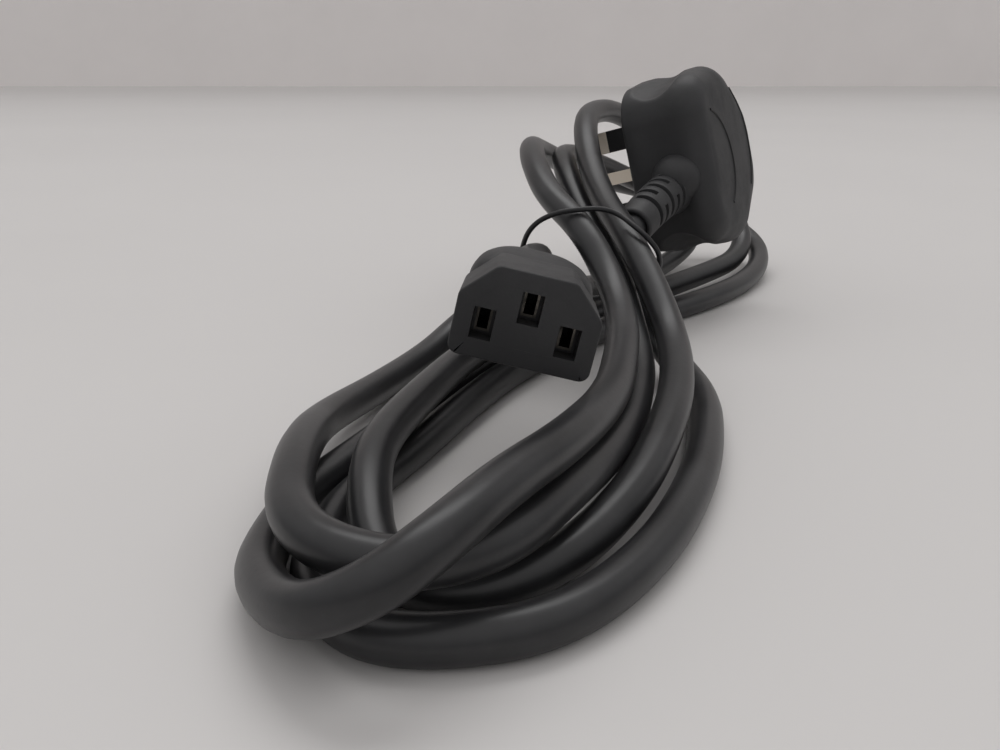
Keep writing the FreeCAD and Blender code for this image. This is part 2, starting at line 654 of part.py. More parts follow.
plug_cores = [
    ("line_core", (-1.0, -1.7), [], supply_entry, supply_across),
    ("neutral_core", (-0.6, 1.7), [], neutral_entry, neutral_across),
    ("earth_core", (1.9, 0.2), [(4.9, -0.5, 0.45), (3.4, 7.5, 0.75)], earth_entry, earth_across),
]
for label, offset, middle, entry, across in plug_cores:
    points = placed_points(lean, core_points(offset, middle, entry, across))
    swept(label, path_edges(points), s.core_diameter)

# Appliance connector: a shell with two bevelled corners, a stiff insert with three contacts, a finger hood
# and a slotted tail
half_width = s.shell_width / 2
half_height = s.shell_height / 2


def bevelled(margin):
    wide = half_width - margin
    tall = half_height - margin
    bevel = s.shell_bevel - margin * 0.586
    return polygon([(-wide, -tall), (wide, -tall), (wide, tall - bevel), (wide - bevel, tall),
                    (-wide + bevel, tall), (-wide, tall - bevel)])


insert = new_body("connector_insert", connector_pose)
pad(insert, "YZ", 0, s.insert_length, bevelled(s.insert_margin))
slot_spots = [
    ("line", -s.slot_pitch / 2, -s.slot_rise / 2), ("neutral", s.slot_pitch / 2, -s.slot_rise / 2),
    ("earth", dim(0), s.slot_rise / 2)]
for name, across, rise in slot_spots:
    pocket(insert, "YZ", 0, s.contact_start, centred(across, rise, s.socket_width, s.socket_height))
    pocket(insert, "YZ", s.contact_start, s.insert_length - s.contact_start,
           centred(across, rise, s.contact_width, s.contact_height))
contact_end = s.contact_start + s.contact_length
tail_start = s.shell_length + s.hood_length
connector_length = tail_start + s.tail_length
for name, across, rise in slot_spots:
    contact = new_body(f"connector_{name}_contact", connector_pose)
    pad(contact, "YZ", s.contact_start, s.insert_length - s.contact_start + 1,
        centred(across, rise, s.contact_width, s.contact_height))
    inner = (s.contact_width - 2 * s.contact_wall, s.contact_height - 2 * s.contact_wall)
    pocket(contact, "YZ", s.contact_start, s.contact_length, centred(across, rise, *inner))

shell = new_body("connector_shell", connector_pose, is_piece=False)
pad(shell, "YZ", 0, s.shell_length, bevelled(dim(0)))
dress(shell, "Fillet", "Radius", s.shell_round, lambda edge: runs_along(edge, X_AXIS))
hood_half = s.hood_width / 2
hood = new_body("connector_hood", connector_pose, is_piece=False)
pad(hood, "YZ", s.shell_length, s.hood_length, centred(0, 0, s.hood_width, s.hood_height))
dress(hood, "Fillet", "Radius", s.hood_round, lambda edge: runs_along(edge, X_AXIS))
grip_round = s.hood_length.number * 1.15
for side in (1, -1):
    grip = new_sketch(hood, "XY", -s.hood_height / 2 - 1)
    waist_at = Vector(tail_start.number, side * s.hood_tail_width.number / 2, 0)
    outer = Vector(tail_start.number + 2, side * (hood_half.number + 3), 0)
    nose = Vector(s.shell_length.number + 5, side * hood_half.number, 0)
    middle = Vector((waist_at.x + nose.x) / 2 - 1.2, side * (abs(waist_at.y) + abs(nose.y)) / 2 - side * 1.4, 0)
    far = Vector(tail_start.number + 2, waist_at.y, 0)
    grip.addGeometry(Part.Arc(nose, middle, waist_at))
    grip.addGeometry(Part.LineSegment(waist_at, far))
    grip.addGeometry(Part.LineSegment(far, outer))
    grip.addGeometry(Part.LineSegment(outer, Vector(nose.x, outer.y, 0)))
    grip.addGeometry(Part.LineSegment(Vector(nose.x, outer.y, 0), nose))
    grip_cut = hood.newObject("PartDesign::Pocket", "Grip")
    grip_cut.Profile = grip
    grip_cut.Reversed = True
    bind(grip_cut, "Length", s.hood_height + 2)
tail = new_body("connector_tail", connector_pose, is_piece=False)
pad(tail, "YZ", tail_start - 1, s.tail_length + 1, circle(0, 0, s.cord_diameter + 2 * s.sleeve_wall))
tail_step = (s.tail_length - s.ring_gap) / s.ring_count
tail_rings = []
for index in range(int(n("ring_count"))):
    place = Vector((tail_start + s.ring_gap + tail_step * index).number, 0, 0)
    pose = connector_pose * FreeCAD.Placement(place, FreeCAD.Rotation(Vector(0, 1, 0), 90))
    wide, narrow = ring_sizes(s.tail_root, s.tail_tip, n("ring_count"), index)
    tail_rings.append(ring(f"tail_ring_{index}", pose, wide, narrow, tail_step - s.ring_gap))
    if index:
        place = Vector((tail_start + tail_step * index - s.ring_gap / 2).number, 0, 0)
        pose = connector_pose * FreeCAD.Placement(place, FreeCAD.Rotation(Vector(0, 1, 0), 90)) * quarter_turn(index)
        tail_rings.append(web(f"tail_web_{index}", pose, wide * 0.94, s.web_width, s.ring_gap * 2))

# Cores inside the connector
connector_cores = []
for name, across, rise in slot_spots:
    start = s.insert_length.number + 1
    finish = s.connector_sheath.number
    spread = {"line": (-1.7, -0.8), "neutral": (1.7, -0.8), "earth": (0, 1.8)}[name]
    local = [(start, across.number, rise.number), (start + 2, across.number, rise.number),
             (finish - 2, spread[0], spread[1]), (finish, spread[0], spread[1])]
    edges = path_edges(placed_points(connector_pose, local))
    connector_cores.append(swept(f"connector_{name}_core", edges, s.core_diameter * 0.92))

# Cord, one tube for each stretch, cut where a run is straight
tip, tip_heading = relief_spot(1)
lead = tip + tip_heading * n("relief_lead")
exit_point = connector_pose.multVec(Vector(connector_length.number, 0, 0))
stretches = [
    ("cord_first_fold", FIRST_FOLD), ("cord_outer_back_loop", OUTER_BACK_LOOP), ("cord_top_fold", TOP_FOLD),
    ("cord_inner_back_loop", INNER_BACK_LOOP), ("cord_middle_fold", MIDDLE_FOLD),
    ("cord_centre_back_loop", CENTRE_BACK_LOOP), ("cord_last_fold", LAST_FOLD)]
route = [tip, lead]
for label, stretch in stretches:
    route += [Vector(*point) for point in stretch]
route.append(exit_point)
radii = []
edges = path_edges(route, radii)
print("cord radii", " ".join(f"{radius:.0f}" for radius in radii))
cord_tubes = []
at = 0
for index, (label, stretch) in enumerate(stretches):
    count = 2 * len(stretch) + (2 if index == 0 else 0)
    piece = edges[at:at + count]
    at += count
    if index == 0:
        arc_middle = relief_spot(0.5)[0]
        inside = lean.multVec(Vector(*sheath_spot))
        piece = [Part.LineSegment(inside, relief_start).toShape(),
                 Part.Arc(relief_start, arc_middle, tip).toShape()] + piece
    if index == len(stretches) - 1:
        ending = connector_pose.multVec(Vector(s.connector_sheath.number, 0, 0))
        piece += edges[at:] + [Part.LineSegment(exit_point, ending).toShape()]
    tube_piece = swept(label, piece, s.cord_diameter)
    length = sum(edge.Length for edge in piece)
    cord_tubes.append((tube_piece, length))

# Wire tie round the bundle
tie_points = [Vector(*point) for point in TIE]
tie = swept("cord_tie", path_edges(tie_points), s.tie_width, square_section)

doc.recompute()


# The two mouldings are cut by everything that they are moulded round
def fused(label, shapes):
    result = doc.addObject("Part::MultiFuse", label)
    result.Shapes = shapes
    return result


def cut(label, base, tool):
    result = doc.addObject("Part::Cut", label)
    result.Label = label
    result.Base = base
    result.Tool = tool
    result.Refine = False
    return result


def carve(label, base, groups):
    """Cut each group of tools in turn, and leave the last cut as the piece."""
    for number, tools in enumerate(groups, start=1):
        last = number == len(groups)
        tool = tools[0] if len(tools) == 1 else fused(f"{label}_tools_{number}", tools)
        base = cut(label if last else f"{label}_cut_{number}", base, tool)
        doc.recompute()
        print(label, number, round(base.Shape.Volume), len(base.Shape.Solids))
    pieces.append(base)


def piece_group(*names):
    return [by_label[name] for name in names]


by_label = {piece.Label: piece for piece in pieces}
bridge_space = new_body("bridge_space", lean, is_piece=False)
pad(bridge_space, "YZ", 0, s.bridge_depth,
    rectangle(-s.bridge_near, s.bridge_far, -s.bridge_width / 2, s.bridge_width / 2))
dress(bridge_space, "Fillet", "Radius", s.bridge_round, lambda edge: runs_along(edge, X_AXIS))
pad(bridge_space, "YZ", s.bridge_depth, s.room_depth,
    rectangle(-s.sheath_end, s.room_far, -s.room_width / 2, s.room_width / 2))
carve("plug_overmould", fused("plug_outside", [housing, relief] + relief_rings), [
    [bridge_space], piece_group("cord_first_fold")])
insert_space = new_body("insert_space", connector_pose, is_piece=False)
pad(insert_space, "YZ", 0, s.insert_length, bevelled(s.insert_margin))
pad(insert_space, "YZ", s.insert_length, s.connector_sheath - s.insert_length,
    centred(0, 0, s.crimp_room_width, s.crimp_room_height))
carve("connector_overmould", fused("connector_outside", [shell, hood, tail] + tail_rings), [
    [insert_space], piece_group("cord_last_fold")])
doc.recompute()

for tube_piece, length in cord_tubes:
    wanted = math.pi * (s.cord_diameter.number / 2) ** 2 * length
    print(f"{tube_piece.Label}: length {length:.0f}, volume {tube_piece.Shape.Volume / wanted:.4f} of section x length")

for thing in doc.Objects:
    if {"Invalid", "Error"} & set(thing.State):
        raise RuntimeError(f"{thing.Label} failed")
for piece in pieces:
    if piece.Shape.isNull() or not piece.Shape.isValid():
        raise RuntimeError(f"{piece.Label} has no valid shape")
    piece.Shape.exportStep(f"parts/{piece.Label}.step")
print(len(pieces), "pieces")
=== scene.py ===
import json
import math

import bmesh
import bpy
from mathutils import Matrix, Vector
from mathutils.bvhtree import BVHTree


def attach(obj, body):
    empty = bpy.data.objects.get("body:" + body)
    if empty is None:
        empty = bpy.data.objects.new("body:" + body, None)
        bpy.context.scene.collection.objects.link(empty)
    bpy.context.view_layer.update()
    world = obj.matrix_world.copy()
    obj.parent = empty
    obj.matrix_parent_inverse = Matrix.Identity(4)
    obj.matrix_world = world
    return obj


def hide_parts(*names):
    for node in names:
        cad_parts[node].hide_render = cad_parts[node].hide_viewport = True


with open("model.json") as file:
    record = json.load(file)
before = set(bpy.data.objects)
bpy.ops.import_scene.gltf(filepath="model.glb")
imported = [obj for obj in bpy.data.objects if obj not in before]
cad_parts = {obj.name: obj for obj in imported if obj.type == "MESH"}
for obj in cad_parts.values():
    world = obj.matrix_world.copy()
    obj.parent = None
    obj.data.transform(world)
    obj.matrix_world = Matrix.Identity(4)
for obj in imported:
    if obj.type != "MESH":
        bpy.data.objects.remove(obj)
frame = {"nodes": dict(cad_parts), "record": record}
nodes = frame['nodes']
scene = bpy.context.scene
scene.view_settings.view_transform = 'Standard'
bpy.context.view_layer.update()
print('frame loaded,', len(nodes), 'nodes')


class Signal:
    def __init__(self, recipe, socket):
        self.recipe = recipe
        self.socket = socket

    def maths(self, operation, *values):
        return self.recipe.add('ShaderNodeMath', {'operation': operation}, values)['Value']

    def __add__(self, other):
        return self.maths('ADD', self, other)

    __radd__ = __add__

    def __mul__(self, other):
        return self.maths('MULTIPLY', self, other)

    __rmul__ = __mul__

    def between(self, low, high):
        settings = {'clamp': True}
        span = {'Value': self, 'From Min': low, 'From Max': high}
        return self.recipe.add('ShaderNodeMapRange', settings, span)['Result']


class Recipe:
    def __init__(self, name, **fixed):
        self.material = bpy.data.materials.new(name)
        self.material.use_nodes = True
        self.tree = self.material.node_tree
        self.surface = self.tree.nodes['Principled BSDF']
        self.place = self.add('ShaderNodeTexCoord')['Object']
        self.feed(self.surface, fixed)

    def feed(self, node, values):
        pairs = values.items() if isinstance(values, dict) else enumerate(values)
        for key, value in pairs:
            socket = node.inputs[key]
            if isinstance(value, Signal):
                self.tree.links.new(value.socket, socket)
            else:
                socket.default_value = value

    def add(self, kind, settings=None, values=()):
        node = self.tree.nodes.new(kind)
        for key, value in (settings or {}).items():
            setattr(node, key, value)
        self.feed(node, values)
        return {socket.name: Signal(self, socket) for socket in node.outputs}

    def noise(self, scale, detail=4, roughness=0.5, where=None):
        spread = {'Vector': where or self.place, 'Scale': scale, 'Detail': detail, 'Roughness': roughness}
        return self.add('ShaderNodeTexNoise', {}, spread)['Fac']

    def stretched(self, scale):
        return self.add('ShaderNodeMapping', {}, {'Vector': self.place, 'Scale': scale})['Vector']

    def colours(self, share, first, second):
        node = self.tree.nodes.new('ShaderNodeMix')
        node.data_type = 'RGBA'
        self.feed(node, {0: share, 6: first, 7: second})
        return Signal(self, node.outputs[2])

    def bump(self, height, strength, distance):
        values = {'Height': height, 'Strength': strength, 'Distance': distance}
        return self.add('ShaderNodeBump', {}, values)['Normal']

    def finish(self, **links):
        self.feed(self.surface, {key.replace('_', ' '): value for key, value in links.items()})
        return self.material


def mouldedPlastic(name, dark, light, roughness, grain=2600, grainDepth=0.00004):
    recipe = Recipe(name, **{'Specular IOR Level': 0.4})
    cloud = recipe.noise(38, 5, 0.6)
    speck = recipe.noise(grain, 3, 0.6)
    smudge = recipe.noise(120, 4, 0.65).between(0.42, 0.72)
    colour = recipe.colours(cloud.between(0.3, 0.75) * 0.6 + speck * 0.3, dark, light)
    height = speck + recipe.noise(grain * 0.4, 2, 0.5) * 0.5
    return recipe.finish(Base_Color=colour, Roughness=smudge * 0.12 + roughness + speck * 0.06,
                         Normal=recipe.bump(height, 0.55, grainDepth))


def sheathPlastic():
    recipe = Recipe('cordSheath', **{'Specular IOR Level': 0.45})
    cloud = recipe.noise(60, 4, 0.6)
    ripple = recipe.noise(420, 3, 0.55)
    dust = recipe.noise(900, 4, 0.7).between(0.58, 0.75) * recipe.noise(25, 3, 0.6).between(0.4, 0.7)
    colour = recipe.colours(cloud.between(0.3, 0.7) * 0.5 + dust * 0.35,
                            (0.010, 0.010, 0.011, 1), (0.045, 0.045, 0.047, 1))
    return recipe.finish(Base_Color=colour, Roughness=cloud * 0.10 + dust * 0.15 + 0.30,
                         Normal=recipe.bump(ripple, 0.35, 0.00006))


def platedPin():
    recipe = Recipe('platedPin', Metallic=0.3)
    brushed = recipe.noise(30, 4, 0.6, recipe.stretched((6, 90, 90)))
    wear = recipe.noise(90, 5, 0.7).between(0.5, 0.75)
    colour = recipe.colours(wear, (0.88, 0.79, 0.67, 1), (0.70, 0.61, 0.50, 1))
    return recipe.finish(Base_Color=colour, Roughness=brushed * 0.2 + wear * 0.15 + 0.22,
                         Normal=recipe.bump(brushed, 0.15, 0.00005))


def contactBrassPaintedShade():
    recipe = Recipe('contactBrassPaintedShade', Metallic=1.0)
    # Both brass tones are darkened close to black as painted shade of the deep contact recesses; the noise adds
    # tarnish-like variation between them.
    tarnishAndShade = recipe.noise(220, 5, 0.7).between(0.4, 0.7)
    colour = recipe.colours(tarnishAndShade, (0.13, 0.12, 0.105, 1), (0.045, 0.042, 0.038, 1))
    return recipe.finish(Base_Color=colour, Roughness=tarnishAndShade * 0.25 + 0.25)


def coreInsulation(name, plain, stripe=None):
    recipe = Recipe(name)
    tone = recipe.noise(300, 3, 0.5).between(0.3, 0.7)
    darker = tuple(part * 0.7 for part in plain[:3]) + (1,)
    colour = recipe.colours(tone, plain, darker)
    if stripe:
        band = recipe.noise(260, 0, 0, recipe.stretched((1, 0.4, 1))).between(0.49, 0.51)
        colour = recipe.colours(band, colour, stripe)
    return recipe.finish(Base_Color=colour, Roughness=tone * 0.1 + 0.35)


def glazedCeramic():
    recipe = Recipe('glazedCeramic')
    tone = recipe.noise(200, 4, 0.6)
    colour = recipe.colours(tone, (0.86, 0.84, 0.78, 1), (0.74, 0.72, 0.66, 1))
    return recipe.finish(Base_Color=colour, Roughness=tone * 0.1 + 0.2)


finishes = {
    'moulding': mouldedPlastic('moulding', (0.014, 0.014, 0.015, 1), (0.040, 0.040, 0.042, 1), 0.48),
    'cord_sheath': sheathPlastic(),
    'carrier': mouldedPlastic('carrier', (0.022, 0.022, 0.024, 1), (0.05, 0.05, 0.052, 1), 0.36, 1500),
    'bridge': mouldedPlastic('bridge', (0.03, 0.03, 0.03, 1), (0.06, 0.06, 0.06, 1), 0.5),
    'pin_metal': platedPin(),
    'sleeve': mouldedPlastic('sleeve', (0.012, 0.012, 0.013, 1), (0.028, 0.028, 0.03, 1), 0.34, 1800),
    'contact_metal': contactBrassPaintedShade(),
    'fuse_ceramic': glazedCeramic(),
    'fuse_metal': platedPin(),
    'core_brown': coreInsulation('coreBrown', (0.16, 0.06, 0.025, 1)),
    'core_blue': coreInsulation('coreBlue', (0.02, 0.10, 0.45, 1)),
    'core_green': coreInsulation('coreGreen', (0.05, 0.30, 0.06, 1), (0.75, 0.65, 0.05, 1)),
    'insert_plastic': mouldedPlastic('insertPlastic', (0.016, 0.016, 0.017, 1), (0.036, 0.036, 0.038, 1),
                                     0.38, 1600),
    # The rear arcs' near-black finish is painted shade: on the real rear face these lines are shallow grooves
    # that look dark from shade.
    'rear_arc_painted_shade': mouldedPlastic('rearArc', (0.006, 0.006, 0.006, 1), (0.016, 0.016, 0.017, 1), 0.5),
    'tie_wire': mouldedPlastic('tieWire', (0.008, 0.008, 0.009, 1), (0.022, 0.022, 0.024, 1), 0.28, 1500),
}
for part in frame['record']['subparts']:
    mesh = nodes[part['node']].data
    mesh.materials.clear()
    mesh.materials.append(finishes[part['material_slot']])
print('finishes on the CAD nodes')

# Points of the cord's route, one list for each stretch, in metres
routePoints = {
    'relief': [
        (0.0132, -0.0366, -0.0066), (0.0131, -0.0416, -0.01), (0.0137, -0.0477, -0.0149),
    ],
    'firstFold': [
        (0.021, -0.055, -0.027), (0.034, -0.066, -0.036), (0.047, -0.081, -0.0385),
        (0.055, -0.104, -0.0385), (0.06, -0.126, -0.0385), (0.062, -0.152, -0.0385),
        (0.058, -0.173, -0.0385), (0.047, -0.184, -0.0385), (0.036, -0.188, -0.0385),
        (0.023, -0.181, -0.0385), (0.015, -0.168, -0.0385), (0.011, -0.153, -0.0385),
        (0.009, -0.135, -0.0385), (0.005, -0.112, -0.0385), (0.002, -0.088, -0.0385),
        (0.003, -0.06, -0.0385), (0.008, -0.032, -0.0385),
    ],
    'outerBackLoop': [
        (0.016, -0.008, -0.0385), (0.021, 0.015, -0.0385), (0.023, 0.04, -0.0385), (0.021, 0.064, -0.037),
        (0.014, 0.083, -0.033), (-0.004, 0.094, -0.026), (-0.023, 0.087, -0.018), (-0.034, 0.064, -0.012),
        (-0.038, 0.037, -0.006), (-0.037, 0.014, 0.001), (-0.033, -0.009, 0.006), (-0.024, -0.029, 0.008),
        (-0.015, -0.044, 0.005), (-0.004, -0.057, -0.001),
    ],
    'topFold': [
        (0.0102, -0.0655, -0.0075), (0.021, -0.0735, -0.017), (0.03, -0.087, -0.023), (0.037, -0.105, -0.025),
        (0.044, -0.126, -0.025), (0.048, -0.151, -0.023), (0.048, -0.17, -0.022), (0.048, -0.185, -0.023),
        (0.044, -0.194, -0.027), (0.033, -0.195, -0.033), (0.018, -0.186, -0.037), (0.01, -0.175, -0.0385),
        (0.004, -0.162, -0.0385), (0.002, -0.145, -0.0385), (-0.002, -0.121, -0.0385),
        (-0.006, -0.093, -0.0385), (-0.007, -0.069, -0.0385), (-0.006, -0.042, -0.0385),
    ],
    'innerBackLoop': [
        (-0.001, -0.014, -0.0385), (0.005, 0.009, -0.037), (0.01, 0.034, -0.0365), (0.0142, 0.0582, -0.035),
        (0.011, 0.076, -0.028), (-0.004, 0.084, -0.013), (-0.018, 0.075, 0.001), (-0.023, 0.051, 0.0105),
        (-0.0219, 0.0238, 0.0168), (-0.0203, 0.0027, 0.0168), (-0.0152, -0.0123, 0.0133),
        (-0.0057, -0.0284, 0.004), (0.0062, -0.0444, -0.004),
    ],
    'middleFold': [
        (0.018, -0.058, -0.009), (0.029, -0.068, -0.018), (0.039, -0.08, -0.027), (0.047, -0.099, -0.03),
        (0.052, -0.12, -0.032), (0.054, -0.139, -0.035), (0.052, -0.156, -0.038), (0.047, -0.17, -0.0385),
        (0.038, -0.176, -0.0385), (0.028, -0.173, -0.037), (0.018, -0.161, -0.032), (0.011, -0.148, -0.031),
        (0.004, -0.123, -0.031), (-0.001, -0.101, -0.031), (-0.002, -0.08, -0.031), (-0.004, -0.058, -0.03),
        (-0.006, -0.038, -0.03), (-0.01, -0.018, -0.033),
    ],
    'centreBackLoop': [
        (-0.012, 0.006, -0.038), (-0.01, 0.034, -0.0385), (-0.009, 0.056, -0.037), (-0.007, 0.07, -0.032),
        (-0.01, 0.078, -0.025), (-0.017, 0.072, -0.017), (-0.024, 0.052, -0.009), (-0.0268, 0.025, -0.001),
        (-0.0258, -0.005, 0.005), (-0.017, -0.021, 0.002), (-0.007, -0.034, -0.005), (0.005, -0.047, -0.012),
        (0.017, -0.061, -0.018),
    ],
    'lastFold': [
        (0.026, -0.074, -0.025), (0.035, -0.089, -0.031), (0.04, -0.104, -0.033), (0.044, -0.118, -0.033),
        (0.047, -0.135, -0.032), (0.049, -0.156, -0.03), (0.049, -0.172, -0.03), (0.042, -0.183, -0.03),
        (0.031, -0.186, -0.029), (0.02, -0.181, -0.029), (0.01, -0.169, -0.029), (0, -0.155, -0.031),
        (-0.01, -0.138, -0.035), (-0.017, -0.113, -0.038), (-0.021, -0.088, -0.038),
        (-0.022, -0.07, -0.034), (-0.017, -0.058, -0.027), (-0.008, -0.057, -0.02),
        (-0.001, -0.066, -0.015), (0.002, -0.078, -0.013),
    ],
    'tieWire': [
        (-0.0093, -0.063, -0.021), (-0.0065, -0.0662, -0.0125), (-0.002, -0.0688, -0.0066),
        (0.0035, -0.0682, -0.0036), (0.0088, -0.0662, -0.0026), (0.013, -0.0615, -0.0026),
        (0.0168, -0.06, -0.004), (0.0207, -0.0615, -0.0058), (0.025, -0.062, -0.0085),
        (0.0275, -0.059, -0.013), (0.0262, -0.057, -0.019), (0.0206, -0.059, -0.0228),
        (0.013, -0.0625, -0.0248), (0.004, -0.0645, -0.025), (-0.003, -0.0645, -0.0254),
    ],
    'connectorEnd': [
        (0.0087, -0.0906, -0.0124), (0.0125, -0.0977, -0.012),
    ],
}
cordSettings = {
    'diameter': 0.007,
    'exit': (0.0131, -0.0416, -0.01),
    'length': 2.24,
    'bevelSteps': 8,
    'stepsPerPoint': 10,
}
tieSettings = {
    'width': 0.0013,
    'stepsPerPoint': 8,
    'bevelSteps': 4,
}


def splineCurve(name, points, depth, steps, bevelSteps):
    curve = bpy.data.curves.new(name, 'CURVE')
    curve.dimensions = '3D'
    spline = curve.splines.new('NURBS')
    spline.points.add(len(points) - 1)
    for spot, point in zip(spline.points, points):
        spot.co = (*point, 1)
    spline.order_u = 3
    spline.use_endpoint_u = True
    spline.resolution_u = steps
    curve.bevel_depth = depth
    curve.bevel_resolution = bevelSteps
    curve.use_fill_caps = True
    piece = bpy.data.objects.new(name, curve)
    scene.collection.objects.link(piece)
    return piece


cordNodes = [name for name in nodes if name.startswith('cord_') and name != 'cord_tie']
cordPoints = [point for key, stretch in routePoints.items() if key != 'tieWire' for point in stretch]
cord = splineCurve('mainsCord', cordPoints, cordSettings['diameter'] / 2, cordSettings['stepsPerPoint'],
                   cordSettings['bevelSteps'])
cord.data.materials.append(finishes['cord_sheath'])
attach(cord, 'plug')
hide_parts(*cordNodes)

tie = splineCurve('wireTie', routePoints['tieWire'], tieSettings['width'] / 2, tieSettings['stepsPerPoint'],
                  tieSettings['bevelSteps'])
tie.data.materials.append(finishes['tie_wire'])
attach(tie, 'plug')
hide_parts('cord_tie')
print('cord and tie')


def meshPiece(name, bm, material):
    mesh = bpy.data.meshes.new(name)
    bm.to_mesh(mesh)
    bm.free()
    mesh.materials.append(material)
    piece = bpy.data.objects.new(name, mesh)
    scene.collection.objects.link(piece)
    return piece


# The moulding's sizes are in millimetres, with x running from the pin face to the rear
plugSettings = {
    'lean': -15,  # degrees about y
    'outline': [(-12.5, 16.8), (-7.0, 23.6), (15.2, 27.3), (36.0, 11.3)],  # half of it, seen from the pins
    'cornerCuts': [4.2, 4.0, 6.6, 7.4],
    'cornerSteps': 10,
    'longestEdge': 1.1,
    'layers': 44,
    'depth': 23.5,
    'faceRound': 0.9,
    'rearRound': 6.4,
    'rearDome': 0.5,
    'rearMiddle': 11.5,
    'rearReach': 22,
    'rearTouch': 0.001,
    'rearRings': [0.9, 0.88, 0.86, 0.83, 0.8, 0.75, 0.65, 0.5],
    'gripBottom': 20.0,
    'gripMiddle': (9.5, -7.0),
    'gripRise': 0.33,
    'gripCurve': 0.062,
    'gripEase': 0.45,
    'waistLimit': 25.6,
    'waistCurve': 0.8,
    'waistEase': 1.2,
    'nearHollow': 0.9,
    'hollowMiddle': 9.5,
    'hollowReach': 7.0,
    'hollowFrom': -4,
    'hollowFade': 6,
    'bridgeMiddle': 8.4,
    'bridgeHalf': (19.87, 17.07),
    'bridgeRound': 5.0,
    'bridgeFar': 40,
    'bridgeSearch': 24,
    'rimInset': 0.05,
    'roomDepth': 17.8,
}
reliefSettings = {
    'root': (12.3, -11.2, -3.9),
    'tip': (13.06, -41.7, -10.0),
    'rise': 0.8,
    'sides': 72,
    'profile': [(0, 6.9), (2.5, 6.4), (5.0, 5.95)],
    'slotAt': [5.1, 9.5, 13.9, 18.2, 22.5],
    'slotWidth': 2.0,
    'slotDepth': 2.1,
    'rimRound': 0.16,
    'rimSteps': 2,
    'rimSharpness': 1.1,
    'ringMiddle': 1.3,
    'webHalf': 21,  # degrees; each ring's webs stand a quarter turn on from the last ring's
    'webFirst': 130,
    'tipRadius': 5.1,
    'tipRound': 0.9,
    'tipSteps': 4,
    'collarInner': 3.55,
    'collarLip': 0.35,
    'collarEdge': 0.1,
    'collarDepth': 2.5,
    'ringWaist': 0.995,
    'slotEdge': 0.1,
}
domeSettings = {
    'middle': (13.6, -10.3, -0.7),
    'radius': 7.4,
    'flatten': (1, 0.97, 1),
    'sides': 64,
    'rows': 32,
}
leanTurn = Matrix.Rotation(math.radians(plugSettings['lean']), 4, 'Y')
millimetre = Matrix.Scale(0.001, 4)


def smoothed(piece, sharpFrom=42):
    piece.data.polygons.foreach_set('use_smooth', [True] * len(piece.data.polygons))
    piece.data.set_sharp_from_angle(angle=math.radians(sharpFrom))
    return piece


def pushFace(bm, face, shift, keepFirst=False):
    grown = bmesh.ops.extrude_face_region(bm, geom=[face])['geom']
    if face.is_valid and not keepFirst:
        bmesh.ops.delete(bm, geom=[face], context='FACES_ONLY')
    bmesh.ops.translate(bm, vec=shift, verts=[item for item in grown if isinstance(item, bmesh.types.BMVert)])
    return next(item for item in grown if isinstance(item, bmesh.types.BMFace))


def softLimit(value, limit, ease):
    gap = (value - limit) / ease  # well below the limit nothing changes, well above it the limit holds
    if gap <= -1:
        return value
    return limit if gap >= 1 else value - ease * (1 + gap) ** 2 / 4


def gripLimit(along, across):
    middle, deepest = plugSettings['gripMiddle']
    curve = plugSettings['gripCurve'] * (along - middle) ** 2
    scoop = plugSettings['gripBottom'] + plugSettings['gripRise'] * (across - deepest) + curve
    waist = plugSettings['waistLimit'] + curve * plugSettings['waistCurve']
    return softLimit(scoop, waist, plugSettings['waistEase'])


def roundInset(along):
    front, rear = plugSettings['faceRound'], plugSettings['rearRound']
    start = plugSettings['depth'] - rear
    if along < front:
        return front - math.sqrt(max(0, front ** 2 - (front - along) ** 2))
    if along > start:
        return rear - math.sqrt(max(0, rear ** 2 - (along - start) ** 2))
    return 0


def nearHollow(along, across):
    share = 1 - ((along - plugSettings['hollowMiddle']) / plugSettings['hollowReach']) ** 2
    nearness = min(1, max(0, (plugSettings['hollowFrom'] - across) / plugSettings['hollowFade']))
    return plugSettings['nearHollow'] * max(0, share) ** 1.5 * nearness


def onBridgeEdge(across, upward):
    middle = plugSettings['bridgeMiddle']
    halfAcross, halfUp = plugSettings['bridgeHalf']
    corner = plugSettings['bridgeRound']
    ray = Vector((across - middle, upward)).normalized()
    low, high = 0, plugSettings['bridgeFar']  # halving finds where the ray leaves the bridge's outline
    for attempt in range(plugSettings['bridgeSearch']):
        reach = (low + high) / 2
        spot = ray * reach
        beyond = Vector((max(0, abs(spot.x) - halfAcross + corner), max(0, abs(spot.y) - halfUp + corner)))
        if beyond.length > corner:
            high = reach
        else:
            low = reach
    return middle + ray.x * low, ray.y * low


